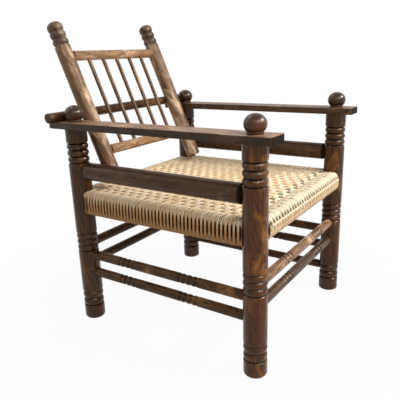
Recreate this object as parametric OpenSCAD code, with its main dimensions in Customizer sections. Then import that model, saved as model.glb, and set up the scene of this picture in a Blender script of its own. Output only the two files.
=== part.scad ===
// Low armchair in turned wood with a cord seat and a back frame that folds forward.
// Front faces -Y, up is +Z, and the floor is z = 0 midway between the chair's widest reaches.
// Left and right are the sitter's own: right is -X.

/* [Frame] */
// Distance between the left and right legs, centre to centre
leg_gap_x = 524; // [480:1:580]
// Distance between the front and rear legs, centre to centre
leg_gap_y = 550; // [520:1:600]
// Diameter of the turned legs
leg_d = 59; // [52:1:64]
// Height of the arm boards' underside
arm_under = 575; // [560:1:620]
// Diameter of the tenon on top of each leg
leg_tenon_d = 22; // [16:1:26]

/* [Arm boards and balls] */
// Width of an arm board
arm_w = 64; // [56:1:68]
// Thickness of an arm board
arm_t = 18; // [14:1:26]
// Reach of an arm board beyond the front leg's centre
arm_front = 55; // [40:1:90]
// Reach of an arm board beyond the rear leg's centre
arm_rear = 73; // [60:1:90]
// Radius of an arm board's corners, seen from above
arm_corner = 8; // [2:1:20]
// Diameter of the ball on each leg
ball_d = 51; // [44:1:56]
// Height of a ball above its arm board
ball_h = 44; // [40:1:48]
// Height of a ball's widest place above its arm board
ball_wide_at = 21; // [18:0.5:24]
// Height of the collar turned under each ball
collar_h = 5.5; // [4:0.5:9]
// Depth of the groove between a ball and its collar
collar_groove = 0.7; // [0.5:0.1:2]

/* [Leg turning] */
// Height of the lowest groove of the upper beads
upper_low = 480; // [478:1:484]
// Height of one upper bead
upper_pitch = 18.3; // [14:0.1:20]
// Depth of the upper grooves
upper_depth = 4.7; // [2:0.1:6]
// Height of the lowest groove of the middle beads on the right legs
mid_low_right = 220; // [200:1:230]
// Height of the lowest groove of the middle beads on the left legs
mid_low_left = 241; // [220:1:250]
// Height of one middle bead
mid_pitch = 17.8; // [12:0.1:20]
// Depth of the middle grooves
mid_depth = 3.8; // [1:0.1:5]
// Height of the lowest groove of the foot beads
foot_low = 44; // [34:1:50]
// Height of one foot bead
foot_pitch = 22; // [14:0.5:24]
// Depth of the foot grooves
foot_depth = 4; // [1:0.1:5]
// Radius of the foot's rounded lower edge
foot_round = 8; // [3:1:12]

/* [Upper side rails] */
// Diameter of the upper side rails
side_rail_d = 49; // [40:1:54]
// Height of the upper side rails' centre line
side_rail_z = 457; // [450:1:462]
// Diameter of the upper side rails' tenons
side_tenon_d = 24; // [16:1:30]
// Distance of a flat shoulder from the leg's surface
shoulder_gap = 1.5; // [0.5:0.1:4]
// Chamfer on the shoulders of rails
rail_chamfer = 2.5; // [1:0.1:5]

/* [Seat] */
// Diameter of the seat rails under the cord
seat_rail_d = 52; // [40:1:54]
// Height of the seat rails' centre line
seat_rail_z = 368; // [350:1:372]
// Diameter of the seat rails' tenons
seat_tenon_d = 20; // [14:1:22]
// Diameter of the seat cord
cord_d = 6; // [4:0.5:8]

/* [Stretchers] */
// Diameter of the stretchers
stretcher_d = 26; // [22:1:28]
// Diameter of the stretchers' tenons
stretcher_tenon_d = 18; // [12:1:20]
// Height of the upper side stretchers
side_upper_z = 205; // [202:1:208]
// Height of the lower side stretchers
side_lower_z = 151; // [140:1:154]
// Height of the low stretcher that only the left side has
side_low_z = 78; // [72:1:100]
// Height of the upper front and rear stretchers
cross_upper_z = 235; // [233:1:240]
// Height of the lower front and rear stretchers
cross_lower_z = 178; // [175:1:180]
// Length of one stretcher bead
stretcher_pitch = 17.5; // [12:0.1:20]
// Depth of the stretchers' grooves
stretcher_depth = 2.8; // [1:0.1:3.5]
// Distance from a rear leg's centre to the rear beads of a side stretcher
side_beads_rear = 155; // [110:1:170]
// Distance from a front leg's centre to the front beads of a side stretcher
side_beads_front = 190; // [150:1:200]
// Distance from a left leg's centre to the left beads of a front stretcher
cross_beads_left = 138; // [110:1:150]
// Distance from a right leg's centre to the right beads of a front stretcher
cross_beads_right = 172; // [150:1:200]

/* [Back frame] */
// Distance between the back posts, centre to centre
post_gap = 396; // [380:1:400]
// Diameter of the back posts
post_d = 45; // [40:1:48]
// Length of a back post with its finial
post_len = 476; // [460:1:520]
// Length of a back post below its pivot
post_tail = 41; // [34:1:44]
// Lean of the back from upright, in degrees
lean = 23.4; // [15:0.1:28]
// Height of the top back rail above the pivot, along the posts
top_rail_at = 335; // [320:1:345]
// Height of the lower back rail above the pivot, along the posts
low_rail_at = 50; // [44:1:80]
// Diameter of the back rails
back_rail_d = 28; // [24:1:32]
// Diameter of the back rails' tenons
back_tenon_d = 18; // [12:1:20]
// Number of spindles in the back
spindle_count = 5; // [5:1:5]
// Diameter of a spindle
spindle_d = 11.5; // [9:0.5:14]
// Diameter of a spindle's tenons
spindle_tenon_d = 8; // [6:0.5:9]
// Depth of a spindle's tenons
spindle_tenon_len = 9; // [6:0.5:11]
// Length of the finial turned on each post
finial_len = 70; // [60:1:76]
// Depth of the finial's grooves
finial_depth = 4.6; // [1:0.1:5]

/* [Pivots and support rod] */
// Diameter of a pivot pin
pin_d = 12; // [8:1:14]
// Depth of a pivot pin in its post and in its rail
pin_depth = 20; // [12:1:24]
// Diameter of the rod that the back leans on
rod_d = 27; // [22:1:30]
// Reach of the rod beyond the arm boards' outer edges
rod_reach = 19; // [10:1:40]
// Gap between the rod and the balls in front of it
rod_clear = 9.5; // [3:0.5:14]
// Depth of the shallow saddle under the rod in each arm board
saddle_depth = 2; // [1:0.5:5]

/* [Fits] */
// Radial clearance of a glued tenon in its socket
glue_gap = 0.1; // [0.05:0.05:0.2]
// Radial clearance of a pivot pin in its post
run_gap = 0.08; // [0.05:0.01:0.1]
// Gap left where a piece only rests against another
rest_gap = 0.3; // [0.2:0.1:0.5]
// Gap at the end of a tenon in its socket
end_gap = 0.5; // [0.3:0.1:2]
// Distance from a leg's centre to the bottom of its sockets
socket_floor = 12; // [11.5:0.5:14]

/* [Hidden] */
wood = "#4b2e1e";
dark_wood = "#33211a";
worn_wood = "#7a5434";
board_wood = "#5a4436";
cord = "#d8bd8c";

leg_r = leg_d/2;
arm_top = arm_under + arm_t;
post_r = post_d/2;
rod_r = rod_d/2;
top_tenon_reach = ball_d*0.35;
round_fn = 96;
arc_steps = 6;
cut = 1;

// Distance from a back post's centre to the bottom of its rail sockets
tenon_inset = post_r*0.35;

// Heights along a post are measured from its lower end
finial_at = post_len - finial_len;
knob_low = finial_at + finial_len*0.61;
knob_wide = finial_at + finial_len*0.77;
knob_dome = post_len - knob_wide;

// The rod lies in the saddles, just behind the rear balls, and touches the rear of both posts
rod_z = arm_top - saddle_depth + rod_r + rest_gap;
rod_behind_leg = ball_d/2 + rod_clear + rod_r;
lean_run = (rod_z - side_rail_z)*tan(lean) + (post_r + rod_r + rest_gap)/cos(lean);

// Reaches measured from the middle of the four legs, and the shift that centres the chair
front_reach = leg_gap_y/2 + arm_front;
knob_reach = (knob_wide - post_tail)*sin(lean)
           + sqrt(pow(knob_dome*sin(lean), 2) + pow(post_r*cos(lean), 2));
rear_reach = leg_gap_y/2 + max(rod_behind_leg - lean_run + knob_reach, arm_rear);
centre_y = (rear_reach - front_reach)/2;

leg_x = leg_gap_x/2;
front_y = -leg_gap_y/2 - centre_y;
rear_y = leg_gap_y/2 - centre_y;
mid_y = -centre_y;
rod_y = rear_y + rod_behind_leg;
pivot_y = rod_y - lean_run;
pivot_z = side_rail_z;
rod_len = leg_gap_x + arm_w + 2*rod_reach;

tenon_end = socket_floor + end_gap;
wrap_r = seat_rail_d/2 + cord_d;
// Distance from a leg's centre to the last turn of cord
wrap_end = seat_rail_d/2 + end_gap;
seat_top = seat_rail_z + wrap_r;
spindle_step = (post_gap - post_d)/(spindle_count + 1);

// Points of one bead, an arc from groove to groove that bulges out to radius r
function bead_arc(r, low, pitch, depth) =
    let (bulge = (pow(pitch/2, 2) + pow(depth, 2))/(2*depth),
         half = asin(pitch/2/bulge))
    [for (i = [0:arc_steps]) let (a = -half + 2*half*i/arc_steps)
        [r - bulge + bulge*cos(a), low + pitch/2 + bulge*sin(a)]];

// Points of a rounded edge that falls from radius r into a groove, over a height equal to its depth
function edge_in(r, groove, depth) =
    [for (i = [0:arc_steps/2]) let (a = 90*i/(arc_steps/2))
        [r - depth + depth*cos(a), groove - depth + depth*sin(a)]];

function edge_out(r, groove, depth) =
    [for (i = [0:arc_steps/2]) let (a = 90*i/(arc_steps/2))
        [r - depth + depth*sin(a), groove + depth - depth*cos(a)]];

// Points of a row of beads with a rounded edge below and above it
function bead_row(r, low, pitch, count, depth) = concat(
    edge_in(r, low, depth),
    [for (i = [0:count - 1]) for (p = bead_arc(r, low + i*pitch, pitch, depth)) p],
    edge_out(r, low + count*pitch, depth));

// Points of a rounded rim at the bottom of a turned piece
function rim(r, round) =
    [for (i = [0:arc_steps]) let (a = 90*i/arc_steps)
        [r - round + round*sin(a), round - round*cos(a)]];

module turned(points) {
    rotate_extrude($fn = round_fn) polygon(points);
}

// A round bar from one point along +X, +Y or +Z
module bar_x(x0, x1, d) {
    translate([x0, 0, 0]) rotate([0, 90, 0]) cylinder(d = d, h = x1 - x0, $fn = round_fn);
}

module bar_y(y0, y1, d) {
    translate([0, y0, 0]) rotate([-90, 0, 0]) cylinder(d = d, h = y1 - y0, $fn = round_fn);
}

// A bar with chamfered shoulders, centred on its own length along +Z
module shouldered(length, d, chamfer) {
    translate([0, 0, -length/2]) turned([[0, 0], [d/2 - chamfer, 0], [d/2, chamfer],
        [d/2, length - chamfer], [d/2 - chamfer, length], [0, length]]);
}

// Turn something drawn along +Z to lie along +X or +Y
module along_x() {
    rotate([0, 90, 0]) children();
}

module along_y() {
    rotate([-90, 0, 0]) children();
}

// Blind socket in a leg, opening towards the given direction in the floor plane
module socket(z, direction, d) {
    translate([0, 0, z]) rotate([0, 0, direction]) translate([socket_floor, 0, 0])
        rotate([0, 90, 0]) cylinder(d = d + 2*glue_gap, h = leg_r, $fn = round_fn);
}

// A leg on its own axis. to_side and to_cross are the directions of its neighbours in the floor plane
module leg(to_side, to_cross, mid_low, side_stretchers) {
    profile = concat([[0, 0]], rim(leg_r, foot_round),
        bead_row(leg_r, foot_low, foot_pitch, 2, foot_depth),
        bead_row(leg_r, mid_low, mid_pitch, 3, mid_depth),
        bead_row(leg_r, upper_low, upper_pitch, 3, upper_depth),
        [[leg_r, arm_under], [leg_tenon_d/2, arm_under],
         [leg_tenon_d/2, arm_top + top_tenon_reach], [0, arm_top + top_tenon_reach]]);
    color(wood) difference() {
        turned(profile);
        socket(side_rail_z, to_side, side_tenon_d);
        socket(seat_rail_z, to_side, seat_tenon_d);
        socket(seat_rail_z, to_cross, seat_tenon_d);
        for (z = side_stretchers) socket(z, to_side, stretcher_tenon_d);
        for (z = [cross_upper_z, cross_lower_z]) socket(z, to_cross, stretcher_tenon_d);
    }
}

right_heights = [side_upper_z, side_lower_z];
left_heights = [side_upper_z, side_lower_z, side_low_z];

module front_right_leg() {
    translate([-leg_x, front_y, 0]) leg(90, 0, mid_low_right, right_heights);
}

module front_left_leg() {
    translate([leg_x, front_y, 0]) leg(90, 180, mid_low_left, left_heights);
}

module rear_right_leg() {
    translate([-leg_x, rear_y, 0]) leg(-90, 0, mid_low_right, right_heights);
}

module rear_left_leg() {
    translate([leg_x, rear_y, 0]) leg(-90, 180, mid_low_left, left_heights);
}

// Points of a ball: a collar below a narrow groove, and a body that is a little flatter than it is wide.
// The lower half is part of an ellipse that is a tenth taller than the widest place is high.
function ball_points() =
    let (rise = ball_h - ball_wide_at,
         drop = ball_wide_at*1.1,
         low = asin((ball_wide_at - collar_h)/drop),
         collar_r = ball_d/2*cos(low))
    concat([[0, 0]], bead_arc(collar_r, 0, collar_h, collar_groove),
        [for (i = [0:2*arc_steps - 1]) let (a = low*(1 - i/(2*arc_steps)))
            [ball_d/2*cos(a), ball_wide_at - drop*sin(a)]],
        [for (i = [0:4*arc_steps]) let (a = 90*i/(4*arc_steps))
            [ball_d/2*cos(a), ball_wide_at + rise*sin(a)]]);

// A turned ball with a flat underside and the socket that sits over the leg's tenon
module ball(x, y) {
    color(wood) translate([x, y, arm_top]) difference() {
        turned(ball_points());
        translate([0, 0, -cut])
            cylinder(d = leg_tenon_d + 2*glue_gap, h = top_tenon_reach + end_gap + cut, $fn = round_fn);
    }
}

module front_right_ball() {
    ball(-leg_x, front_y);
}

module front_left_ball() {
    ball(leg_x, front_y);
}

module rear_right_ball() {
    ball(-leg_x, rear_y);
}

module rear_left_ball() {
    ball(leg_x, rear_y);
}

// Outline of an arm board from above, with true round corners
module board_outline() {
    length = arm_front + leg_gap_y + arm_rear;
    x1 = arm_w/2;
    translate([0, front_y - arm_front]) union() {
        translate([-x1 + arm_corner, 0]) square([arm_w - 2*arm_corner, length]);
        translate([-x1, arm_corner]) square([arm_w, length - 2*arm_corner]);
        for (x = [-x1 + arm_corner, x1 - arm_corner]) for (y = [arm_corner, length - arm_corner])
            translate([x, y]) circle(r = arm_corner, $fn = round_fn);
    }
}

module arm_board(x) {
    color(board_wood) difference() {
        translate([x, 0, arm_under]) linear_extrude(arm_t) board_outline();
        for (y = [front_y, rear_y]) translate([x, y, arm_under - cut])
            cylinder(d = leg_tenon_d + 2*glue_gap, h = arm_t + 2*cut, $fn = round_fn);
        translate([0, rod_y, rod_z]) bar_x(x - arm_w, x + arm_w, rod_d + 2*rest_gap);
    }
}

module right_arm_board() {
    arm_board(-leg_x);
}

module left_arm_board() {
    arm_board(leg_x);
}

// An upper side rail, with a blind hole on its inner side for the pivot pin
module side_rail(side) {
    body_len = leg_gap_y - leg_d - 2*shoulder_gap;
    color(dark_wood) difference() {
        union() {
            translate([side*leg_x, mid_y, side_rail_z]) along_y()
                shouldered(body_len, side_rail_d, rail_chamfer);
            translate([side*leg_x, 0, side_rail_z])
                bar_y(front_y + tenon_end, rear_y - tenon_end, side_tenon_d);
        }
        translate([side*(leg_x - side_rail_d/2), pivot_y, pivot_z])
            bar_x(-pin_depth - end_gap, pin_depth + end_gap, pin_d + 2*glue_gap);
    }
}

module right_side_rail() {
    side_rail(-1);
}

module left_side_rail() {
    side_rail(1);
}

// Round seat rails, hidden inside the cord
module cross_seat_rail(y) {
    body_len = leg_gap_x - leg_d - 2*end_gap;
    color(dark_wood) translate([0, y, seat_rail_z]) {
        along_x() shouldered(body_len, seat_rail_d, rail_chamfer);
        bar_x(-leg_x + tenon_end, leg_x - tenon_end, seat_tenon_d);
    }
}

module side_seat_rail(x) {
    body_len = leg_gap_y - leg_d - 2*end_gap;
    color(dark_wood) translate([x, 0, seat_rail_z]) {
        translate([0, mid_y, 0]) along_y() shouldered(body_len, seat_rail_d, rail_chamfer);
        bar_y(front_y + tenon_end, rear_y - tenon_end, seat_tenon_d);
    }
}

module front_seat_rail() {
    cross_seat_rail(front_y);
}

module rear_seat_rail() {
    cross_seat_rail(rear_y);
}

module right_seat_rail() {
    side_seat_rail(-leg_x);
}

module left_seat_rail() {
    side_seat_rail(leg_x);
}

// Cord round a seat rail: a roll, and on its inner side the start of the flat sheet
module wrap_section(r, sheet_top) {
    circle(r = r, $fn = round_fn);
    translate([0, seat_top - seat_rail_z - 2*cord_d]) square([r, sheet_top - seat_top + 2*cord_d]);
}

module side_wrap_solid(side, spare) {
    translate([side*leg_x, mid_y, seat_rail_z]) rotate([90, 0, side > 0 ? 180 : 0])
        linear_extrude(leg_gap_y - 2*wrap_end, center = true)
            wrap_section(wrap_r + spare, seat_top + spare);
}

module cross_wrap_solid(y, inward) {
    translate([0, y, seat_rail_z]) rotate([90, 0, inward])
        linear_extrude(leg_gap_x - 2*wrap_end, center = true) wrap_section(wrap_r, seat_top);
}

module leg_clearances() {
    for (x = [-leg_x, leg_x]) for (y = [front_y, rear_y]) translate([x, y, 0])
        cylinder(d = leg_d + 2*glue_gap, h = side_rail_z, $fn = round_fn);
}

module side_cord_wrap(side) {
    color(cord) difference() {
        side_wrap_solid(side, 0);
        translate([side*leg_x, 0, seat_rail_z]) bar_y(front_y, rear_y, seat_rail_d + 2*glue_gap);
        leg_clearances();
    }
}

module cross_cord_wrap(y, inward) {
    color(cord) difference() {
        cross_wrap_solid(y, inward);
        translate([0, y, seat_rail_z]) bar_x(-leg_x, leg_x, seat_rail_d + 2*glue_gap);
        leg_clearances();
        for (side = [-1, 1]) side_wrap_solid(side, glue_gap);
    }
}

module front_cord_wrap() {
    cross_cord_wrap(front_y, 90);
}

module rear_cord_wrap() {
    cross_cord_wrap(rear_y, -90);
}

module right_cord_wrap() {
    side_cord_wrap(-1);
}

module left_cord_wrap() {
    side_cord_wrap(1);
}

// The woven sheet between the four rolls, two cords thick
module woven_panel() {
    color(cord) translate([0, mid_y, seat_top - cord_d])
        cube([leg_gap_x - 2*wrap_r, leg_gap_y - 2*wrap_r, 2*cord_d], center = true);
}

// Points of a stretcher turned along its length, with a group of beads at each place in a list
function stretcher_points(length, beads) =
    let (r = stretcher_d/2, half = 1.5*stretcher_pitch)
    concat([[0, 0], [r, 0]],
        [for (at = beads) for (p = bead_row(r, at - half, stretcher_pitch, 3, stretcher_depth)) p],
        [[r, length], [0, length]]);

// A stretcher between two leg centres along +Z, with ends coped to the legs and round tenons
module stretcher(length, beads) {
    difference() {
        turned(stretcher_points(length, beads));
        for (z = [0, length]) translate([0, -leg_d, z]) rotate([-90, 0, 0])
            cylinder(r = leg_r + glue_gap, h = 2*leg_d, $fn = round_fn);
    }
    translate([0, 0, tenon_end])
        cylinder(d = stretcher_tenon_d, h = length - 2*tenon_end, $fn = round_fn);
}

// A side stretcher runs from the rear leg to the front leg
module side_stretcher(x, z, beaded) {
    beads = beaded ? [side_beads_rear, leg_gap_y - side_beads_front] : [];
    color(wood) translate([x, rear_y, z]) rotate([90, 0, 0])
        stretcher(leg_gap_y, beads);
}

// A front or rear stretcher runs from the left leg to the right leg
module cross_stretcher(y, z, beaded) {
    beads = beaded ? [cross_beads_left, leg_gap_x - cross_beads_right] : [];
    color(wood) translate([leg_x, y, z]) rotate([0, -90, 0]) rotate([0, 0, 90])
        stretcher(leg_gap_x, beads);
}

module right_upper_stretcher() {
    side_stretcher(-leg_x, side_upper_z, true);
}

module right_lower_stretcher() {
    side_stretcher(-leg_x, side_lower_z, true);
}

module left_upper_stretcher() {
    side_stretcher(leg_x, side_upper_z, true);
}

module left_lower_stretcher() {
    side_stretcher(leg_x, side_lower_z, true);
}

module left_low_stretcher() {
    side_stretcher(leg_x, side_low_z, false);
}

module front_upper_stretcher() {
    cross_stretcher(front_y, cross_upper_z, true);
}

module front_lower_stretcher() {
    cross_stretcher(front_y, cross_lower_z, true);
}

module rear_upper_stretcher() {
    cross_stretcher(rear_y, cross_upper_z, false);
}

module rear_lower_stretcher() {
    cross_stretcher(rear_y, cross_lower_z, false);
}

// The back frame's own axes: origin at the pivot, +Z along the leaning posts
module back_frame() {
    translate([0, pivot_y, pivot_z]) rotate([-lean, 0, 0]) children();
}

// Points of a back post, from its lower end to the top of its knob
function post_points() = concat(
    [[0, 0], [post_r - rail_chamfer, 0], [post_r, rail_chamfer]],
    edge_in(post_r, finial_at, finial_depth),
    bead_arc(post_r, finial_at, (knob_low - finial_at)/2, finial_depth),
    bead_arc(post_r, (finial_at + knob_low)/2, (knob_low - finial_at)/2, finial_depth),
    [for (i = [0:arc_steps]) let (a = 90*i/arc_steps)
        [post_r - finial_depth + finial_depth*sin(a), knob_wide - (knob_wide - knob_low)*cos(a)]],
    [for (i = [1:2*arc_steps]) let (a = 90*i/(2*arc_steps))
        [post_r*cos(a), knob_wide + knob_dome*sin(a)]]);

// A back post, with sockets for the two rails and a blind hole for its pivot pin
module back_post(side) {
    color(worn_wood) back_frame() translate([side*post_gap/2, 0, 0]) difference() {
        translate([0, 0, -post_tail]) turned(post_points());
        for (s = [top_rail_at, low_rail_at]) translate([-side*tenon_inset, 0, s])
            bar_x(side > 0 ? -post_d : 0, side > 0 ? 0 : post_d, back_tenon_d + 2*glue_gap);
        translate([side*(post_r - pin_depth - end_gap), 0, 0])
            bar_x(side > 0 ? 0 : -post_d, side > 0 ? post_d : 0, pin_d + 2*run_gap);
    }
}

module right_back_post() {
    back_post(-1);
}

module left_back_post() {
    back_post(1);
}

// A back rail between the posts, with holes for the spindles on one side
module back_rail(s, spindle_side) {
    body_len = post_gap - post_d - 2*shoulder_gap;
    reach = post_gap/2 - tenon_inset - end_gap;
    color(worn_wood) back_frame() translate([0, 0, s]) difference() {
        union() {
            along_x() shouldered(body_len, back_rail_d, rail_chamfer/2);
            bar_x(-reach, reach, back_tenon_d);
        }
        for (i = [1:spindle_count]) translate([-post_gap/2 + post_r + i*spindle_step, 0, 0])
            rotate([spindle_side > 0 ? 0 : 180, 0, 0])
            translate([0, 0, back_rail_d/2 - spindle_tenon_len - end_gap])
            cylinder(d = spindle_tenon_d + 2*glue_gap, h = back_rail_d, $fn = round_fn);
    }
}

module top_back_rail() {
    back_rail(top_rail_at, -1);
}

module lower_back_rail() {
    back_rail(low_rail_at, 1);
}

// A spindle coped to both rails, with a tenon in each
module spindle(i) {
    reach = back_rail_d/2 - spindle_tenon_len;
    color(worn_wood) back_frame() translate([-post_gap/2 + post_r + i*spindle_step, 0, 0]) {
        difference() {
            translate([0, 0, low_rail_at])
                cylinder(d = spindle_d, h = top_rail_at - low_rail_at, $fn = round_fn);
            for (s = [top_rail_at, low_rail_at]) translate([0, 0, s])
                bar_x(-spindle_d, spindle_d, back_rail_d + 2*glue_gap);
        }
        translate([0, 0, low_rail_at + reach])
            cylinder(d = spindle_tenon_d, h = top_rail_at - low_rail_at - 2*reach, $fn = round_fn);
    }
}

module spindle_1() {
    spindle(1);
}

module spindle_2() {
    spindle(2);
}

module spindle_3() {
    spindle(3);
}

module spindle_4() {
    spindle(4);
}

module spindle_5() {
    spindle(5);
}

// A pin glued in the side rail, on which the back post turns
module pivot_pin(side) {
    inner = post_gap/2 + post_r - pin_depth;
    outer = leg_x - side_rail_d/2 + pin_depth;
    color(dark_wood) translate([0, pivot_y, pivot_z])
        bar_x(side > 0 ? inner : -outer, side > 0 ? outer : -inner, pin_d);
}

module right_pivot_pin() {
    pivot_pin(-1);
}

module left_pivot_pin() {
    pivot_pin(1);
}

// The loose rod that lies across the arm boards behind the back
module support_rod() {
    color(wood) translate([0, rod_y, rod_z]) along_x() shouldered(rod_len, rod_d, rail_chamfer/2);
}

front_right_leg();
front_left_leg();
rear_right_leg();
rear_left_leg();
front_right_ball();
front_left_ball();
rear_right_ball();
rear_left_ball();
right_arm_board();
left_arm_board();
right_side_rail();
left_side_rail();
front_seat_rail();
rear_seat_rail();
right_seat_rail();
left_seat_rail();
woven_panel();
front_cord_wrap();
rear_cord_wrap();
right_cord_wrap();
left_cord_wrap();
right_upper_stretcher();
right_lower_stretcher();
left_upper_stretcher();
left_lower_stretcher();
left_low_stretcher();
front_upper_stretcher();
front_lower_stretcher();
rear_upper_stretcher();
rear_lower_stretcher();
right_back_post();
left_back_post();
top_back_rail();
lower_back_rail();
spindle_1();
spindle_2();
spindle_3();
spindle_4();
spindle_5();
right_pivot_pin();
left_pivot_pin();
support_rod();
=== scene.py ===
import bpy
import numpy as np
from mathutils import Matrix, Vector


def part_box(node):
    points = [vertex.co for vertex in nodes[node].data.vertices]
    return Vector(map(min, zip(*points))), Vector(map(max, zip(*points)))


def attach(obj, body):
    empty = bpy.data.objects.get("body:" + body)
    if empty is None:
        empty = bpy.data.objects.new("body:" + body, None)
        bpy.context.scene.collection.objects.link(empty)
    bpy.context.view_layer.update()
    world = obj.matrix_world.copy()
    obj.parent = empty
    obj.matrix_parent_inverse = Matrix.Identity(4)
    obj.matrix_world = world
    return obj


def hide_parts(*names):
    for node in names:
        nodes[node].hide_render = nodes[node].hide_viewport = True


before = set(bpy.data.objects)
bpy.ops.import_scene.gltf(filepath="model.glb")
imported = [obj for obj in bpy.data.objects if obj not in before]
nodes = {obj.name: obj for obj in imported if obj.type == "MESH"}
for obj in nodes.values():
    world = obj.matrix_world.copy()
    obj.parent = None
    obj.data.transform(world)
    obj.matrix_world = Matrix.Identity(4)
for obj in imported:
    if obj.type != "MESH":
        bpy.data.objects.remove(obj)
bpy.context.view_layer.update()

# The camera stands in front of the sitter's right arm, a little lower than the top of the back, and looks
# down at the seat. Its heading, tilt and small roll were fitted to the legs, balls and arm ends in the
# photograph, and so was its place, which is reckoned from the middle of the four legs.
leg_boxes = np.array([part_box("front_right_leg"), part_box("rear_left_leg")])
leg_centres = leg_boxes.mean(1)
middle_y = float(leg_centres[:, 1].mean())
camera_place = np.array([-1.1666, middle_y - 0.7404, 0.7600])
heading, tilt, roll = np.radians((55.90, 17.01, -2.0))
forward = np.array([np.sin(heading) * np.cos(tilt), np.cos(heading) * np.cos(tilt), -np.sin(tilt)])
level = np.array([np.cos(heading), -np.sin(heading), 0.0])
upright = np.cross(level, forward)
sideways = np.cos(roll) * level + np.sin(roll) * upright
upwards = -np.sin(roll) * level + np.cos(roll) * upright


def put_in_scene(name, data):
    """Makes an object of its data and links it to the scene."""
    made = bpy.data.objects.new(name, data)
    bpy.context.scene.collection.objects.link(made)
    return made


def standing(right, up, back, place):
    """The matrix of a camera or lamp at a place, with its own x, y and z along right, up and back."""
    matrix = np.eye(4)
    matrix[:3] = np.stack([right, up, back, place], 1)
    return Matrix(matrix.tolist())


camera_data = bpy.data.cameras.new("camera")
camera_data.lens = 43.2
camera_data.sensor_width = 36.0
camera_data.sensor_fit = "HORIZONTAL"
camera = put_in_scene("camera", camera_data)
camera.matrix_world = standing(sideways, upwards, -forward, camera_place)
bpy.context.scene.camera = camera
bpy.context.scene.view_settings.view_transform = "Standard"


# The floor is plain white paper, and the room behind it is white. Camera, mirror and glass rays see the
# paper lifted to full white a step away from the chair, as in the photograph, and close to the chair it
# keeps a soft shadow.
def linear(colour):
    """An sRGB hex colour as linear red, green, blue and an alpha of one."""
    value = np.array([int(colour[i : i + 2], 16) for i in (1, 3, 5)]) / 255.0
    value = np.where(value <= 0.04045, value / 12.92, ((value + 0.055) / 1.055) ** 2.4)
    return (*value.tolist(), 1.0)


def empty_tree(owner):
    """Turns on the nodes of a material or world, takes them all out, and gives the bare tree."""
    owner.use_nodes = True
    owner.node_tree.nodes.clear()
    return owner.node_tree


def add(tree, kind, settings=None, **inputs):
    """Adds one node to a tree. Settings are its own properties.

    An input goes by its socket's name, with _ for a space, or by i and its number. It is given a plain
    value, a socket to link from, or a node, which stands for its first output.
    """
    made = tree.nodes.new(kind)
    for key, value in (settings or {}).items():
        setattr(made, key, value)
    for key, value in inputs.items():
        name = key.replace("_", " ")
        socket = made.inputs[int(name[1:])] if name[0] == "i" and name[1:].isdigit() else made.inputs[name]
        if isinstance(value, bpy.types.Node):
            value = value.outputs[0]
        if isinstance(value, bpy.types.NodeSocket):
            tree.links.new(value, socket)
        else:
            socket.default_value = value
    return made


def seen_directly(tree):
    """One for rays from the camera, off gloss or through glass, and nought for light on matt surfaces."""
    seen = 0.0
    ray = add(tree, "ShaderNodeLightPath").outputs
    for kind in ("Is Camera Ray", "Is Glossy Ray", "Is Transmission Ray"):
        seen = add(tree, "ShaderNodeMath", {"operation": "MAXIMUM"}, i0=seen, i1=ray[kind])
    return seen


paper = bpy.data.materials.new("white_paper")
paper_tree = empty_tree(paper)
paper_place = add(paper_tree, "ShaderNodeTexCoord").outputs["Object"]
paper_away = add(paper_tree, "ShaderNodeVectorMath", {"operation": "LENGTH"}, i0=paper_place)
shadow_reach, white_from = 0.35, 1.1
paper_white = add(paper_tree, "ShaderNodeMapRange", {"interpolation_type": "SMOOTHSTEP"},
                  Value=paper_away.outputs["Value"], From_Min=shadow_reach, From_Max=white_from,
                  To_Min=0.96, To_Max=1.0)
paper_share = add(paper_tree, "ShaderNodeMath", {"operation": "MULTIPLY"},
                  i0=seen_directly(paper_tree), i1=paper_white)
paper_matt = add(paper_tree, "ShaderNodeBsdfDiffuse", Color=linear("#c4c4c4"))
paper_lift = add(paper_tree, "ShaderNodeEmission", Color=linear("#ffffff"), Strength=1.0)
paper_mix = add(paper_tree, "ShaderNodeMixShader", i0=paper_share, i1=paper_matt, i2=paper_lift)
add(paper_tree, "ShaderNodeOutputMaterial", Surface=paper_mix)
floor_mesh = bpy.data.meshes.new("floor")
floor_mesh.from_pydata([(-9, -9, 0), (9, -9, 0), (9, 9, 0), (-9, 9, 0)], [], [(0, 1, 2, 3)])
floor_mesh.materials.append(paper)
put_in_scene("floor", floor_mesh)

# The room is seen at full white, and lights matt surfaces with a fifth of that.
world = bpy.data.worlds.new("white_room")
bpy.context.scene.world = world
world_tree = empty_tree(world)
room_light = add(world_tree, "ShaderNodeMapRange", Value=seen_directly(world_tree), To_Min=0.21, To_Max=1.0)
room = add(world_tree, "ShaderNodeBackground", Color=linear("#ffffff"), Strength=room_light)
add(world_tree, "ShaderNodeOutputWorld", Surface=room)

# A wide window lights the chair from its front and the sitter's left. Two long, narrow lamps beside it
# carry the bright lines on the beads on round towards the camera. A small one above and behind gives the
# sheen along the tops of the side rails, and a weak one fills from behind. All point at the seat's middle.
lit_place = np.array([0.0, 0.0, 0.35])
for lamp_name, place, width, height, watts in (
    ("window_light", (1.05, -2.2, 2.25), 1.4, 0.5, 80.0),
    ("long_light", (-0.55, -2.3, 2.15), 2.2, 0.2, 46.0),
    ("side_light", (-2.1, -1.4, 2.15), 1.6, 0.12, 10.0),
    ("top_light", (0.1, 1.6, 2.9), 0.6, 0.6, 11.0),
    ("back_fill", (-1.2, 2.4, 2.2), 1.6, 1.6, 10.0),
):
    lamp_data = bpy.data.lights.new(lamp_name, "AREA")
    lamp_data.shape = "RECTANGLE"
    lamp_data.size, lamp_data.size_y = width, height
    lamp_data.energy = watts
    aim = lit_place - np.array(place)
    aim /= np.linalg.norm(aim)
    across = np.cross(aim, [0, 0, 1.0])
    across /= np.linalg.norm(across)
    lamp = put_in_scene(lamp_name, lamp_data)
    lamp.matrix_world = standing(across, np.cross(across, aim), -aim, place)


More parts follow.
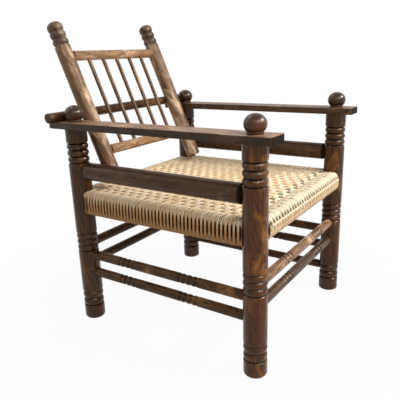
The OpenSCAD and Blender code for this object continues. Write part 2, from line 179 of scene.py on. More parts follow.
# The four legs are turned beech, stained to dark walnut, waxed, and rubbed by use. Each is one length with
# its tenon on top. The stain lies in long fibres, honey brown where it has worn thin. The other three legs
# have darker tones than the front right one: painted shade. The turned grooves are darkened almost to
# black, partly old wax and partly painted shade.
def stained_wood(name, along, dark, middle, warm, thin=0.5, gloss=0.34, shine=0.16, fibre_mm=2.4,
                 tilt_degrees=0.0, groove=None, step=None, dark_ends=None):
    """Stained, waxed hardwood: noise drawn out along the grain mixes a dark, a middle and a warm tone.

    Fibres are noise whose scale across the grain is one over the fibre width, and along it eight times
    less, a little out of line with the piece. along names one axis, or two where the grain shows as rings
    round a ball. The real pores are finer and are drawn as coarse as the picture can show. Bands are the
    same, about five times as wide, and patches of thin stain are some 40 mm wide and three times as long.
    Pores darken and dent the surface. thin says how much of the stain has worn off, gloss is the wax's
    roughness, and shine says how strongly it reflects.

    groove = (radius, depth, function) darkens what lies deeper than the turned surface, by distance from
    the axis. step = (height, reach, below, above) gives the share of the tone below and above a height.
    dark_ends = (axis, middle, reach, share) darkens and dulls what lies further than reach from the middle.
    """
    material = bpy.data.materials.new(name)
    tree = empty_tree(material)
    place = add(tree, "ShaderNodeTexCoord").outputs["Object"]
    slope = np.radians((tilt_degrees + 7.0, 6.0, 5.0)).tolist()
    laid = add(tree, "ShaderNodeMapping", Vector=place, Rotation=slope)
    fine, long_patch = np.full(3, 1000.0 / fibre_mm), np.full(3, 24.0)
    for letter in along:
        fine["XYZ".index(letter)] /= 8.0
        long_patch["XYZ".index(letter)] /= 3.0
    drawn = add(tree, "ShaderNodeMapping", Vector=laid, Scale=fine.tolist())
    spread = add(tree, "ShaderNodeMapping", Vector=laid, Scale=long_patch.tolist())
    grain = {"Detail": 4.0, "Roughness": 0.65}
    fibres = add(tree, "ShaderNodeTexNoise", Vector=drawn, Scale=0.8, Distortion=0.8, **grain)
    bands = add(tree, "ShaderNodeTexNoise", Vector=drawn, Scale=0.17, Distortion=1.6, **grain)
    patches = add(tree, "ShaderNodeTexNoise", Vector=spread, Scale=1.0, Distortion=0.6, **grain)
    wax = add(tree, "ShaderNodeTexNoise", Vector=spread, Scale=2.2, **grain)
    pores = add(tree, "ShaderNodeTexNoise", Vector=drawn, Scale=1.6, Detail=2.0, Roughness=0.7)
    banded = add(tree, "ShaderNodeMapRange", Value=bands, From_Min=0.33, From_Max=0.6)
    tone = add(tree, "ShaderNodeMixRGB", Color1=linear(dark), Color2=linear(middle), Fac=banded)
    worn_from = 0.66 - 0.26 * thin
    worn = add(tree, "ShaderNodeMapRange", Value=patches, From_Min=worn_from, From_Max=worn_from + 0.18)
    tone = add(tree, "ShaderNodeMixRGB", Color1=tone, Color2=linear(warm), Fac=worn)
    streak = add(tree, "ShaderNodeMapRange", Value=fibres, From_Min=0.3, From_Max=0.7,
                 To_Min=0.7, To_Max=1.3)
    pits = add(tree, "ShaderNodeMapRange", Value=pores, From_Min=0.32, From_Max=0.42,
               To_Min=0.5, To_Max=1.0)
    rough = add(tree, "ShaderNodeMapRange", Value=wax, From_Min=0.3, From_Max=0.7,
                To_Min=gloss - 0.08, To_Max=gloss + 0.14)
    shades = [pits]
    if groove:
        radius, depth, from_axis = groove
        away = add(tree, "ShaderNodeVectorMath", {"operation": "LENGTH"}, i0=from_axis(tree, place))
        shades.append(add(tree, "ShaderNodeMapRange", Value=away.outputs["Value"],
                          From_Min=radius - depth, From_Max=radius, To_Min=0.3, To_Max=1.0))
    if step:
        step_height, reach, below, above = step
        up = add(tree, "ShaderNodeSeparateXYZ", Vector=place).outputs["Z"]
        shades.append(add(tree, "ShaderNodeMapRange", Value=up, From_Min=step_height - reach,
                          From_Max=step_height + reach, To_Min=below, To_Max=above))
    if dark_ends:
        axis, middle_place, reach, share = dark_ends
        off = add(tree, "ShaderNodeSeparateXYZ", Vector=place).outputs[axis]
        off = add(tree, "ShaderNodeMath", {"operation": "SUBTRACT"}, i0=off, i1=middle_place)
        off = add(tree, "ShaderNodeMath", {"operation": "ABSOLUTE"}, i0=off)
        ends = add(tree, "ShaderNodeMapRange", Value=off, From_Min=reach - 0.002, From_Max=reach,
                   To_Min=1.0, To_Max=share)
        shades.append(ends)
        rough = add(tree, "ShaderNodeMath", {"operation": "DIVIDE", "use_clamp": True}, i0=rough, i1=ends)
    shade = streak
    for part in shades:
        shade = add(tree, "ShaderNodeMath", {"operation": "MULTIPLY"}, i0=shade, i1=part)
    tinted = add(tree, "ShaderNodeVectorMath", {"operation": "SCALE"}, i0=tone, Scale=shade)
    height = add(tree, "ShaderNodeMath", {"operation": "ADD"}, i0=pits, i1=fibres)
    dents = add(tree, "ShaderNodeBump", Height=height, Strength=0.3, Distance=0.0003)
    surface = add(tree, "ShaderNodeBsdfPrincipled", Base_Color=tinted, Roughness=rough, Normal=dents,
                  IOR=1.5, Specular_IOR_Level=shine, Specular_Tint=linear("#ffeddc"))
    add(tree, "ShaderNodeOutputMaterial", Surface=surface)
    return material


half_x, half_y = float(leg_centres[1, 0]), float(leg_centres[1, 1] - middle_y)
leg_radius = float(leg_boxes[0, 1, 0] - leg_boxes[0, 0, 0]) / 2


def from_leg_axis(tree, place):
    """The vector from the nearest leg's axis: x and y are folded on to one leg, and z is left out."""
    parts = add(tree, "ShaderNodeSeparateXYZ", Vector=place)
    x = add(tree, "ShaderNodeMath", {"operation": "ABSOLUTE"}, i0=parts.outputs["X"])
    x = add(tree, "ShaderNodeMath", {"operation": "SUBTRACT"}, i0=x, i1=half_x)
    y = add(tree, "ShaderNodeMath", {"operation": "SUBTRACT"}, i0=parts.outputs["Y"], i1=middle_y)
    y = add(tree, "ShaderNodeMath", {"operation": "ABSOLUTE"}, i0=y)
    y = add(tree, "ShaderNodeMath", {"operation": "SUBTRACT"}, i0=y, i1=half_y)
    return add(tree, "ShaderNodeCombineXYZ", X=x, Y=y)


def finish_nodes(names, material):
    """Gives CAD pieces their finish and keeps their shape."""
    for name in names:
        nodes[name].data.materials.clear()
        nodes[name].data.materials.append(material)


leg_groove = (leg_radius - 0.0004, 0.0034, from_leg_axis)
# The other legs' darker tones are painted shade, and the grooves are darkened partly as painted shade.
front_right_tones, painted_shade_leg_tones = ("#1f0f06", "#5a3212", "#945d22"), ("#190d06", "#4b2b12", "#7d501f")
for name, tones in (("front_right_leg", front_right_tones), ("front_left_leg", painted_shade_leg_tones),
                    ("rear_right_leg", painted_shade_leg_tones), ("rear_left_leg", painted_shade_leg_tones)):
    finish_nodes([name], stained_wood("walnut_stained_beech_" + name, "Z", *tones, thin=0.45, gloss=0.2,
                                      shine=0.3, fibre_mm=1.3, groove=leg_groove))

# The balls are turned from the same wood across the grain, so it shows as level rings, and hands have
# polished them. Each has a bore from below that fits on its leg's tenon.
ball_wood = stained_wood("walnut_stained_beech_balls", "XY", "#150a05", "#351c0d", "#6b3e20",
                         gloss=0.24, shine=0.42, fibre_mm=3.2)
finish_nodes(["front_right_ball", "front_left_ball", "rear_right_ball", "rear_left_ball"], ball_wood)

# The arm boards are flat sawn boards on the legs' shoulders, and the legs' tenons go through them. Forearms
# have rubbed the stain grey-brown on top, and the left board has darker tones than the right. Above the rim
# the tone is painted lighter, a painted sheen, and below it the side faces are painted darker, a painted
# shade, both most on the right board. The end grain has drunk more stain, and is dark and dull.
board_low, board_high = np.array(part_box("right_arm_board"))
board_middle, board_half = (board_low + board_high) / 2, (board_high - board_low) / 2
board_ends = ("Y", float(board_middle[1]), float(board_half[1]) - 0.0005, 0.05)
board_rim = float(board_high[2]) - 0.0012
# edge and top scale the tone below and above the rim: painted shade on the sides, painted sheen on top.
for name, tones, edge, top in (("right_arm_board", ("#45301f", "#7a5b43", "#a98c70"), 0.2, 1.5),
                               ("left_arm_board", ("#33221a", "#60452f", "#8d7157"), 0.8, 1.1)):
    finish_nodes([name], stained_wood("walnut_stained_beech_" + name, "Y", *tones,
                                      gloss=0.4, shine=0.3, fibre_mm=2.6,
                                      step=(board_rim, 0.0006, edge, top), dark_ends=board_ends))

# The thick upper side rails are turned plain and tenoned into the legs. They kept their dark stain. In the
# last 5 mm beside the legs they are painted darker and duller, a painted shade where each meets its leg.
# The seat rails inside the cord, and the two pins in the side rails on which the back turns, are almost
# black; on the seat rails that is partly stain and partly painted shade of the slots in the cord.
rail_end_shade = ("Y", middle_y, half_y - leg_radius - 0.005, 0.3)
side_rail_wood = stained_wood("walnut_stained_beech_side_rails", "Y", "#301e15", "#533925", "#745439",
                              thin=0.35, gloss=0.28, shine=0.23, dark_ends=rail_end_shade)
finish_nodes(["right_side_rail", "left_side_rail"], side_rail_wood)
seat_rail_wood = stained_wood("walnut_stained_beech_seat_rails", "X", "#160d07", "#24160c", "#332012",
                              thin=0.2, shine=0.05)
finish_nodes(["front_seat_rail", "rear_seat_rail", "right_seat_rail", "left_seat_rail"], seat_rail_wood)
finish_nodes(["right_pivot_pin", "left_pivot_pin"], seat_rail_wood)


# The stretchers are round rails with two groups of three beads, coped to the legs and tenoned into them.
# Those on the sitter's right are worn. The left and rear ones have darker tones, which are painted shade.
# Feet have rubbed the upper front one to honey brown and the lower one less. Between the beads the grooves
# are darkened, partly old wax and partly painted shade.
def from_axis_of(name, along):
    """Gives the vector from a straight piece's axis: place less its box's middle, bar the part along."""
    middle = np.mean(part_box(name), 0).tolist()
    kept = [0.0 if axis == along else 1.0 for axis in "XYZ"]

    def from_axis(tree, place):
        away = add(tree, "ShaderNodeVectorMath", {"operation": "SUBTRACT"}, i0=place, i1=middle)
        return add(tree, "ShaderNodeVectorMath", {"operation": "MULTIPLY"}, i0=away, i1=kept)

    return from_axis


# The darker tones of the left and rear stretchers are painted shade.
worn_tones, painted_shade_tones = ("#2b190c", "#5d3f23", "#946a3e"), ("#2a1a0e", "#523620", "#785231")
for name, along, tones, thin, shine in (
    ("right_upper_stretcher", "Y", worn_tones, 0.5, 0.2),
    ("right_lower_stretcher", "Y", worn_tones, 0.5, 0.2),
    ("left_upper_stretcher", "Y", painted_shade_tones, 0.4, 0.16),
    ("left_lower_stretcher", "Y", painted_shade_tones, 0.4, 0.16),
    ("left_low_stretcher", "Y", painted_shade_tones, 0.4, 0.16),
    ("rear_upper_stretcher", "X", painted_shade_tones, 0.4, 0.16),
    ("rear_lower_stretcher", "X", painted_shade_tones, 0.4, 0.16),
    ("front_upper_stretcher", "X", ("#482e1c", "#8c6646", "#cba77e"), 0.52, 0.55),
    ("front_lower_stretcher", "X", ("#291a0e", "#4a3420", "#775a3b"), 0.5, 0.4),
):
    low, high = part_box(name)
    groove = ((high[2] - low[2]) / 2 - 0.0002, 0.0022, from_axis_of(name, along))
    finish_nodes([name], stained_wood("walnut_stained_beech_" + name, along, *tones,
                                      thin=thin, shine=shine, gloss=0.3, groove=groove))

# The back is two turned posts that lean, joined by two rails with five spindles between them, all tenoned.
# The stain has worn to honey brown on the posts' shafts and the rails, and stayed dark on the posts' knobs,
# which start 0.79 m up. The spindles are darker.
back_lean = 23.4
knob_start = 0.792
post_wood = stained_wood("walnut_stained_beech_back_posts", "Z", "#362314", "#825e3f", "#dcbb96", thin=0.6,
                         gloss=0.42, shine=0.42, tilt_degrees=back_lean, step=(knob_start, 0.01, 1.0, 0.3))
finish_nodes(["right_back_post", "left_back_post"], post_wood)
spindle_wood = stained_wood("walnut_stained_beech_spindles", "Z", "#36210f", "#67472a", "#a27a4d",
                            shine=0.3, tilt_degrees=back_lean)
finish_nodes(["spindle_%d" % i for i in range(1, 6)], spindle_wood)
back_rail_wood = stained_wood("walnut_stained_beech_back_rails", "X", "#583c28", "#a17a56", "#dab893",
                              thin=0.65, gloss=0.4, shine=0.35)
finish_nodes(["top_back_rail", "lower_back_rail"], back_rail_wood)

# The support rod is a plain dowel laid across the arm boards, in a shallow saddle in each.
rod_wood = stained_wood("walnut_stained_beech_rod", "X", "#28180b", "#50341e", "#815c37")
finish_nodes(["support_rod"], rod_wood)

# The seat is woven from one twisted straw-coloured cord. Here are its runs over the front and rear rails:
# pairs of cords, one pair every 24.5 mm, that go from front to back through the weave and lie close on the
# rails. The roll round each of these rails has 89 places for cord, 5.22 mm apart.
rail_height, weave_height = 0.368, 0.3945
pair_count, pair_step = 20, 0.0245
turn_count, turn_step = 89, 0.00522
row_step = 0.01465
roll_out, roll_in, roll_up, roll_power = 0.0250, 0.0294, 0.0300, 0.6


def smooth(value, low, high):
    """Nought below low, one above high, and the cubic 3t2 - 2t3 between them."""
    share = np.clip((value - low) / (high - low), 0.0, 1.0)
    return share * share * (3.0 - 2.0 * share)


def alternate(place, step):
    """A flattened cosine that is +1 over one crossing and -1 over the next, a step further on."""
    return np.tanh(2.2 * np.cos(np.pi * place / step)) / np.tanh(2.2)


def spread_out(count, step):
    """The places of so many cords, a step apart, with their middle at nought."""
    return (np.arange(count) - (count - 1) / 2) * step


def nearest_turns(places, count, step):
    """The numbers of a roll's two turns nearest each place: first all the first ones, then the second."""
    first = np.clip(np.round(places / step + (count - 2) / 2).astype(int), 0, count - 2)
    return np.concatenate([first, first + 1])


def cords(name, paths, radius, tones, hollow=0.0, sides=6):
    """Round cords as one mesh. Each path, a row of points, carries a ring of points square to it:
    centre + radius (cos a * side + sin a * normal). The map holds metres along the cord and turns round it.

    tones holds each cord's own tone, from nought to one. The crease between two cords is darkened as dust,
    old stain and painted shade: crease = (1 - |sin a|) (0.38 + 1.2 hollow), or hollow squared where that is
    more, up to one.
    hollow is nought on an open cord and one on a cord deep between its neighbours.
    """
    paths = np.asarray(paths, float)
    count, steps = paths.shape[:2]
    ahead = np.gradient(paths, axis=1)
    ahead /= np.linalg.norm(ahead, axis=2, keepdims=True)
    # The ring's first point lies level and across the cords, which run mostly along x or mostly along y.
    spread = np.ptp(paths.reshape(-1, 3), 0)
    run = np.abs(paths[:, -1] - paths[:, 0]).sum(0)
    along_x = run[0] > run[1] or (run[0] == run[1] and spread[0] < spread[1])
    flat = np.array([0.0, 1.0, 0.0]) if along_x else np.array([1.0, 0.0, 0.0])
    side = flat - ahead * (ahead @ flat)[..., None]
    side /= np.linalg.norm(side, axis=2, keepdims=True)
    normal = np.cross(ahead, side)
    turn = 2 * np.pi * np.arange(sides) / sides
    radii = np.broadcast_to(np.asarray(radius, float), (count, steps))[..., None, None]
    around = np.cos(turn)[:, None] * side[:, :, None] + np.sin(turn)[:, None] * normal[:, :, None]
    rings = paths[:, :, None] + radii * around

    def point(cord, ring, place):
        """The number of a ring's point in the mesh."""
        return (cord * steps + ring) * sides + place

    # Four points make each face between two rings, turned to look away from the cord.
    cord, ring, place = np.meshgrid(np.arange(count), np.arange(steps - 1), np.arange(sides), indexing="ij")
    onward = (place + 1) % sides
    walls = np.stack([point(cord, ring, place), point(cord, ring, onward),
                      point(cord, ring + 1, onward), point(cord, ring + 1, place)], -1).reshape(-1, 4)
    length = np.cumsum(np.linalg.norm(np.diff(paths, axis=1), axis=2), 1)
    length = np.concatenate([np.zeros((count, 1)), length], 1)
    here, there = length[cord, ring], length[cord, ring + 1]
    wall_map = np.stack([np.stack([here, here, there, there], -1),
                         np.stack([place, place + 1, place + 1, place], -1) / sides], -1)
    # Each end is closed with one flat face, turned the same way.
    cord, place = np.meshgrid(np.arange(count), np.arange(sides), indexing="ij")
    caps = np.concatenate([point(cord, 0, place)[:, ::-1], point(cord, steps - 1, place)])
    cap_map = np.stack([np.concatenate([length[cord, 0], length[cord, steps - 1]]),
                        np.concatenate([place, place]) / sides], -1)
    corners = np.concatenate([walls.ravel(), caps.ravel()])
    sizes = np.concatenate([np.full(len(walls), 4), np.full(len(caps), sides)])
    lay_map = np.concatenate([wall_map.reshape(-1, 2), cap_map.reshape(-1, 2)])
    hollow = np.broadcast_to(np.asarray(hollow, float), (count, steps))[..., None]
    crease = np.maximum((1.0 - np.abs(np.sin(turn))) * (0.38 + 1.2 * hollow), hollow**2)
    mesh = bpy.data.meshes.new(name)
    mesh.vertices.add(count * steps * sides)
    mesh.vertices.foreach_set("co", rings.astype(np.float32).ravel())
    mesh.loops.add(len(corners))
    mesh.loops.foreach_set("vertex_index", corners.astype(np.int32))
    mesh.polygons.add(len(sizes))
    mesh.polygons.foreach_set("loop_start", (np.cumsum(sizes) - sizes).astype(np.int32))
    mesh.polygons.foreach_set("loop_total", sizes.astype(np.int32))
    mesh.polygons.foreach_set("use_smooth", sizes == 4)
    mesh.update(calc_edges=True)
    mesh.uv_layers.new(name="lay").data.foreach_set("uv", lay_map.astype(np.float32).ravel())
    cord_tone = np.repeat(tones, steps * sides)
    for word, values in (("crease", np.clip(crease, 0.0, 1.0)), ("cord_tone", cord_tone)):
        attribute = mesh.attributes.new(word, "FLOAT", "POINT")
        attribute.data.foreach_set("value", values.astype(np.float32).ravel())
    return put_in_scene(name, mesh)


def twisted_straw_cord():
    """Cord twisted from two strands of straw, matt and pale, with a furrow that winds round it.

    The furrow lies where 133 times the metres along, plus the turns round, is a whole number: the strands
    make one turn in 15 mm, so it crosses the cord every 7.5 mm. Flecks 4 mm long are the straws' ends,
    drawn as coarse as the picture can show, and in patches 30 mm wide the straw has faded.
    """
    material = bpy.data.materials.new("twisted_straw_cord")
    tree = empty_tree(material)
    place = add(tree, "ShaderNodeTexCoord").outputs["Object"]
    lay = add(tree, "ShaderNodeUVMap", {"uv_map": "lay"})
    cord_tone = add(tree, "ShaderNodeAttribute", {"attribute_name": "cord_tone"}).outputs["Fac"]
    crease = add(tree, "ShaderNodeAttribute", {"attribute_name": "crease"}).outputs["Fac"]
    parts = add(tree, "ShaderNodeSeparateXYZ", Vector=lay).outputs
    wound = add(tree, "ShaderNodeMath", {"operation": "MULTIPLY_ADD"},
                i0=parts["X"], i1=133.0, i2=parts["Y"])
    wave = add(tree, "ShaderNodeMath", {"operation": "PINGPONG"}, i0=wound, i1=0.5)
    furrow = add(tree, "ShaderNodeMapRange", {"interpolation_type": "SMOOTHSTEP"}, Value=wave,
                 From_Min=0.0, From_Max=0.22)
    stretch = add(tree, "ShaderNodeMapping", Vector=lay, Scale=(260.0, 9.0, 1.0))
    fibre = add(tree, "ShaderNodeTexNoise", Vector=stretch, Scale=1.0, Detail=3.0, Roughness=0.6)
    patch = add(tree, "ShaderNodeTexNoise", Vector=place, Scale=34.0, Detail=3.0, Roughness=0.6)
    faded = add(tree, "ShaderNodeMath", {"operation": "MULTIPLY_ADD"}, i0=patch, i1=0.4, i2=cord_tone)
    pale = add(tree, "ShaderNodeMapRange", Value=faded, From_Min=0.0, From_Max=1.3)
    colour = add(tree, "ShaderNodeMixRGB", Color1=linear("#e4b982"), Color2=linear("#ffeecd"), Fac=pale)
    # Outside the side rails, and a little outside the front rail, the straw below the seat's edge is
    # painted brown, a painted warm shade on the cord that turns down and away from the lamps.
    where = add(tree, "ShaderNodeSeparateXYZ", Vector=place).outputs
    width = add(tree, "ShaderNodeMath", {"operation": "ABSOLUTE"}, i0=where["X"])
    outside = add(tree, "ShaderNodeMapRange", Value=width, From_Min=half_x - 0.004, From_Max=half_x + 0.016)
    front_y = middle_y - half_y
    before = add(tree, "ShaderNodeMapRange", Value=where["Y"], From_Min=front_y + 0.004,
                 From_Max=front_y - 0.016, To_Min=0.0, To_Max=0.3)
    low = add(tree, "ShaderNodeMapRange", Value=where["Z"], From_Min=0.402, From_Max=0.37)
    edge = add(tree, "ShaderNodeMath", {"operation": "MAXIMUM"}, i0=outside, i1=before)
    painted_under_shade = add(tree, "ShaderNodeMath", {"operation": "MULTIPLY"}, i0=edge, i1=low)
    colour = add(tree, "ShaderNodeMixRGB", Color1=colour, Color2=linear("#bc8b56"), Fac=painted_under_shade)
    # The top of the front roll is painted paler than the rest, a painted sheen.
    front = add(tree, "ShaderNodeMapRange", Value=where["Y"], From_Min=front_y + 0.045,
                From_Max=front_y - 0.005, To_Min=0.0, To_Max=0.55)
    crown = add(tree, "ShaderNodeMapRange", Value=where["Z"], From_Min=0.372, From_Max=0.394)
    painted_sheen = add(tree, "ShaderNodeMath", {"operation": "MULTIPLY"}, i0=front, i1=crown)
    colour = add(tree, "ShaderNodeMixRGB", Color1=colour, Color2=linear("#fff3d9"), Fac=painted_sheen)
    # The crease is painted darker, partly as dust and partly as painted shade between the cords.
    dust_and_shade = add(tree, "ShaderNodeMath", {"operation": "MULTIPLY"}, i0=crease, i1=0.9)
    colour = add(tree, "ShaderNodeMixRGB", Color1=colour, Color2=linear("#26170b"), Fac=dust_and_shade)
    # The furrow of the twist is painted darker, a painted shade.
    shade = add(tree, "ShaderNodeMapRange", Value=furrow, To_Min=0.86, To_Max=1.0)
    fleck = add(tree, "ShaderNodeMapRange", Value=fibre, From_Min=0.25, From_Max=0.6,
                To_Min=0.84, To_Max=1.05)
    both = add(tree, "ShaderNodeMath", {"operation": "MULTIPLY"}, i0=shade, i1=fleck)
    tinted = add(tree, "ShaderNodeVectorMath", {"operation": "SCALE"}, i0=colour, Scale=both)
    height = add(tree, "ShaderNodeMath", {"operation": "MULTIPLY_ADD"}, i0=fibre, i1=0.25, i2=furrow)
    bump = add(tree, "ShaderNodeBump", Height=height, Strength=0.35, Distance=0.0005)
    surface = add(tree, "ShaderNodeBsdfPrincipled", Base_Color=tinted, Roughness=0.58, Normal=bump,
                  IOR=1.45)
    add(tree, "ShaderNodeOutputMaterial", Surface=surface)
    return material


def fit_to_frame(piece, material):
    """Gives a piece of the seat its material and slot, and makes it ride on the frame."""
    piece.data.materials.append(material)
    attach(piece, "frame")


def roll_section(q, low=0.028, below=1.0):
    """How far the cords' centres lie outwards and up from a rail's axis at angle q.

    out = A |cos q|^n and up = B |sin q|^n, with their signs. A = 25 mm outside and 29.4 inside, and above
    B = 30 mm and n = 0.6, which is a squarish edge. Below, B is low and n is below: round on the front and
    rear rolls, and as square as above on the side rolls.
    """
    c, s = np.cos(q), np.sin(q)
    power = np.where(s > 0, roll_power, below)
    out = np.where(c > 0, roll_out, roll_in) * np.sign(c) * np.abs(c) ** power
    up = np.where(s > 0, roll_up, low) * np.sign(s) * np.abs(s) ** power
    return out, up


def roll_run(places, fields, q, side):
    """Each cord's points round the front (side -1) or rear (side 1) rail, and how hollow it lies at each.

    It goes from under the weave, round the outside, to the top. There, from 45 degrees on, it moves from
    its place on the roll to its place in the field. Above the twining, from 14 degrees, the outer two of
    each three cords are drawn 2.7 mm together under the middle one, less and less up to 62 degrees, which
    leaves a tapering slot between the threes. Below it, at 1 degree, they are drawn 1.3 mm together.
    """
    drawn_above, drawn_below = 0.0027, 0.0013
    q = np.broadcast_to(q, (len(places), np.shape(q)[-1]))
    degrees = np.degrees(q)
    third = (np.round(places / turn_step + (turn_count - 1) / 2) % 3 - 1.0)[:, None]
    pinch = smooth(degrees, 10.0, 18.0) * (1.0 - smooth(degrees, 20.0, 62.0))
    lower = np.exp(-(((degrees - 1.0) / 4.0) ** 2))
    x = places[:, None] + (fields - places)[:, None] * smooth(degrees, 45.0, 90.0)
    x = x - third * (drawn_above * pinch + drawn_below * lower)
    out, up = roll_section(q)
    lift = 1.0 + 0.03 * (third == 0) * pinch - 0.06 * (third != 0) * pinch
    run = np.stack([x, middle_y + side * (half_y + out * lift), rail_height + up * lift], -1)
    # The hollow given back darkens the cord as painted shade: in the slots between the threes, at the
    # twining, and along the crown, more on the front roll.
    crown = (0.16 if side < 0 else 0.1) * smooth(degrees, 40.0, 70.0)
    return run, (third != 0) * (0.95 * pinch + 0.65 * lower) + crown


straw = twisted_straw_cord()
# Each cord's tone is drawn by lot.
lots = np.random.default_rng(7)
pair_places = spread_out(pair_count, pair_step)
turn_places = spread_out(turn_count, turn_step)
pair_cords = nearest_turns(pair_places, turn_count, turn_step)
pair_half_gap = 0.0030
pair_offsets = np.concatenate([pair_places - pair_half_gap, pair_places + pair_half_gap])
# Angles round a rail, in degrees up from straight out, are coarse inside and below it and fine outside.
outer_degrees = np.concatenate([np.arange(-200, -20, 9.0), np.arange(-20, 90, 5.0)])
to_top = np.radians(np.append(outer_degrees, 90.0))
# From 20 mm before a rail's middle the cords leave the weave and rise to the top of the roll. A little
# before that they go further up and down at the crossings.
field_y = np.arange(-248, 248, 3) / 248.0 * 0.262
from_middle = np.abs(field_y)
weave_end = 0.2545
long_wave, cross_wave, more_wave = 0.0014, 0.0015, 0.0005
over = np.tile(1.0 - 2.0 * (np.arange(pair_count) % 2), 2)[:, None]
weave = over * alternate(field_y, row_step) * (1.0 - smooth(from_middle, weave_end, 0.262))
rise = smooth(from_middle, weave_end, 0.266) * (rail_height + roll_up - weave_height)
field_z = weave_height + (long_wave + more_wave * smooth(from_middle, 0.215, 0.235)) * weave + rise
middle_run = np.stack(np.broadcast_arrays(pair_offsets[:, None], middle_y + field_y, field_z), -1)
# Behind the front roll the cords are painted darker in two rows, a painted shade in the holes of the weave
# there, fainter at the rear.
painted_hole_shade = smooth(from_middle, 0.222, 0.236) * (1.0 - smooth(from_middle, 0.250, 0.256))
middle_hollow = np.broadcast_to(np.where(field_y < 0, 0.7, 0.3) * painted_hole_shade, field_z.shape)
pair_at = turn_places[pair_cords]
front_run, front_hollow = roll_run(pair_at, pair_offsets, to_top, -1)
rear_run, rear_hollow = [part[:, ::-1] for part in roll_run(pair_at, pair_offsets, to_top, 1)]
# The cord is drawn thinner where it is pulled tight round a rail, and swells again towards the weave.
woven_radius = 0.0028
tight_radius, swell = 0.0023, 0.0004
rail_radius = tight_radius + swell * smooth(np.degrees(to_top), 45.0, 80.0)
radius = np.concatenate([rail_radius, np.full(len(field_y), woven_radius), rail_radius[::-1]])
long_cords = cords("long_cords", np.concatenate([front_run, middle_run, rear_run], 1), radius,
                   lots.uniform(0, 1, len(pair_offsets)),
                   np.concatenate([front_hollow, middle_hollow, rear_hollow], 1))
fit_to_frame(long_cords, straw)
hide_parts("woven_panel")

# The turns of cord between those pairs go right round each rail and back inside. Beside each leg, where a
# whole turn has no room, one short turn ends at the leg.
spare_turns = np.setdiff1d(np.arange(turn_count), pair_cords)
all_round = np.radians(np.append(outer_degrees, np.arange(90, 161, 10.0)))
loop_radius = tight_radius + swell * smooth(np.degrees(all_round), 45.0, 80.0)
short_place = 0.2350


def beside_pairs(places, pair_at, pair_to):
    """Where turns lie in the weave: each moves as far as the pair cords on its two sides do, in proportion,
    so that the turns stay evenly spread. pair_at are the pair cords' places round the rail, and pair_to
    those in the weave.
    """
    order = np.argsort(pair_at)
    return places + np.interp(places, pair_at[order], (pair_to - pair_at)[order])


def short_angles(places, rail_to_leg, below):
    """Angles of short turns. The leg's half width beside one is w = sqrt(r2 - (leg - place)2), and it shows
    while the roll reaches further, A cos q^n > w. Each runs 8 degrees on from there, into the leg.
    """
    width = np.sqrt(leg_radius**2 - (rail_to_leg - places) ** 2)[:, None]
    share = np.linspace(-1.0, 1.0, 17)[None, :]
    power = np.where(share < 0, below, roll_power)
    limit = np.arccos(np.minimum(width / roll_out, 0.98) ** (1.0 / power))
    return share * (limit + np.radians(8.0))


inside = beside_pairs(turn_places[spare_turns], pair_at, pair_offsets)
ends = np.array([-short_place, short_place])
for side, roll_name in ((-1, "front"), (1, "rear")):
    run, hollow = roll_run(turn_places[spare_turns], inside, all_round, side)
    turns = cords(roll_name + "_rail_turns", run, loop_radius, lots.uniform(0, 1, len(spare_turns)), hollow)
    fit_to_frame(turns, straw)
    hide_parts(roll_name + "_cord_wrap")
    run, hollow = roll_run(ends, ends, short_angles(np.abs(ends), half_x, 1.0), side)
    turns = cords(roll_name + "_rail_short_turns", run, tight_radius, lots.uniform(0, 1, len(ends)), hollow)
    fit_to_frame(turns, straw)

# A thinner cord is twined along the front and rear rolls, 12 degrees above their middle. Its two strands
# cross between the threes and hold them together.
twine_x = np.linspace(-0.2315, 0.2315, 355)
twine_radius = 0.0015
for side, name in ((-1, "front_twining"), (1, "rear_twining")):
    runs = []
    for start in (0.0, np.pi):
        wave = np.pi * (twine_x / turn_step + turn_count / 2) / 3.0 + start
        out, up = roll_section(np.radians(12.5) + 0.045 * np.cos(wave))
        out = out + 0.0027 + 0.001 * np.sin(wave)
        runs.append(np.stack([twine_x, middle_y + side * (half_y + out), rail_height + up], -1))
    fit_to_frame(cords(name, runs, twine_radius, np.array([0.8, 1.0])), straw)

# Side to side, pairs of the same cord go over and under the long pairs every 14.65 mm and turn down over
# the side rails, which have 90 places for cord, 5.5 mm apart. The rail shows between the turns on the
# outside, because every second turn dives under there.
row_count, side_count, side_step = 35, 90, 0.0055
row_places = spread_out(row_count, row_step)
side_places = spread_out(side_count, side_step)
row_cords = nearest_turns(row_places, side_count, side_step)
row_half_gap = 0.0029
row_offsets = np.concatenate([row_places - row_half_gap, row_places + row_half_gap])


def side_run(places, fields, q, side):
    """Each cord's points round the right (side -1) or left (side 1) rail, how hollow it lies, its radius.

    Between -32 and 43 degrees the second of each two turns sinks up to 6 mm towards the rail, which leaves
    a slot, and the first is free to swell there, from 2.4 mm to 3. The hollow that is given back paints the
    sunk turn dark, a painted shade in the slot, and a band of painted shade between the cords near the top.
    """
    q = np.broadcast_to(q, (len(places), np.shape(q)[-1]))
    degrees = np.degrees(q)
    second = (np.round(places / side_step + (side_count - 1) / 2) % 2)[:, None]
    slot = smooth(degrees, -32.0, -10.0) * (1.0 - smooth(degrees, 20.0, 43.0))
    sunk = second * slot
    out, up = roll_section(q, 0.0325, roll_power)
    drawn = 1.0 - 0.24 * sunk
    y = middle_y + places[:, None] + (fields - places)[:, None] * smooth(degrees, 35.0, 90.0)
    run = np.stack([side * (half_x + out * drawn), y, rail_height + up * drawn], -1)
    return run, sunk + 0.36 * smooth(degrees, 40.0, 56.0), 0.0024 + 0.0006 * (slot - sunk)


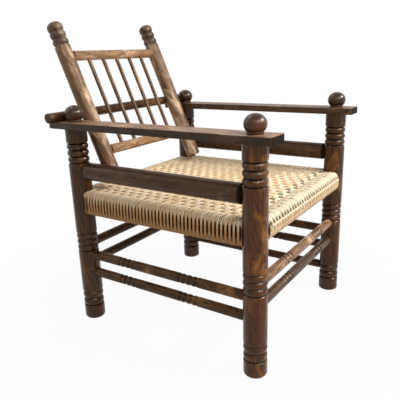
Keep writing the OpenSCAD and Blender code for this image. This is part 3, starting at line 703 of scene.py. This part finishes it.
field_x = np.linspace(-0.250, 0.250, 125)
from_middle = np.abs(field_x)
under = np.tile(2.0 * (np.arange(row_count) % 2) - 1.0, 2)[:, None]
weave = under * alternate(field_x + pair_step / 2, pair_step) * (1.0 - smooth(from_middle, 0.236, 0.248))
rise = smooth(from_middle, 0.238, 0.256) * (rail_height + roll_up - weave_height)
near_roll = (np.abs(row_offsets) > 0.225)[:, None]
cross_z = weave_height + (cross_wave + more_wave * near_roll) * weave + rise
cross_run = np.stack(np.broadcast_arrays(field_x, middle_y + row_offsets[:, None], cross_z), -1)
row_at = side_places[row_cords]
right = side_run(row_at, row_offsets, to_top, -1)
centre = (cross_run, np.zeros(cross_z.shape), np.full(cross_z.shape, woven_radius))
left = [part[:, ::-1] for part in side_run(row_at, row_offsets, to_top, 1)]
run, hollow, radius = [np.concatenate(parts, 1) for parts in zip(right, centre, left)]
cross_cords = cords("cross_cords", run, radius, lots.uniform(0, 1, len(row_offsets)), hollow)
fit_to_frame(cross_cords, straw)
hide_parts("woven_panel")

# The turns of cord between the rows go right round the side rails. In front, one short turn of each ends at
# the leg.
spare_sides = np.setdiff1d(np.arange(side_count), row_cords)
inside = beside_pairs(side_places[spare_sides], row_at, row_offsets)
short_side_place = -0.25025
ends = np.array([short_side_place])
for side, roll_name in ((-1, "right"), (1, "left")):
    run, hollow, radius = side_run(side_places[spare_sides], inside, all_round, side)
    turns = cords(roll_name + "_rail_turns", run, radius, lots.uniform(0, 1, len(spare_sides)), hollow)
    fit_to_frame(turns, straw)
    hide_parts(roll_name + "_cord_wrap")
    run, hollow, radius = side_run(ends, ends, short_angles(np.abs(ends), half_y, roll_power), side)
    turns = cords(roll_name + "_rail_short_turns", run, radius, lots.uniform(0, 1, len(ends)), hollow)
    fit_to_frame(turns, straw)

# The four rails inside the rolls are plain dowels of the stained beech, tenoned into the legs. They are as
# thick as the cord lets them be, and between its turns they show almost black, partly stain and partly
# painted shade of the slots.
core_radius, core_rings = 0.0195, 25
for name, axis in (("front_seat_rail", 0), ("rear_seat_rail", 0),
                   ("right_seat_rail", 1), ("left_seat_rail", 1)):
    low, high = np.array(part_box(name))
    line = np.repeat(((low + high) / 2)[None, :], core_rings, 0)
    line[:, axis] = np.linspace(low[axis], high[axis], core_rings)
    core = cords(name + "_in_cord", [line], core_radius, np.zeros(1), sides=32)
    fit_to_frame(core, seat_rail_wood)
    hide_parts(name)
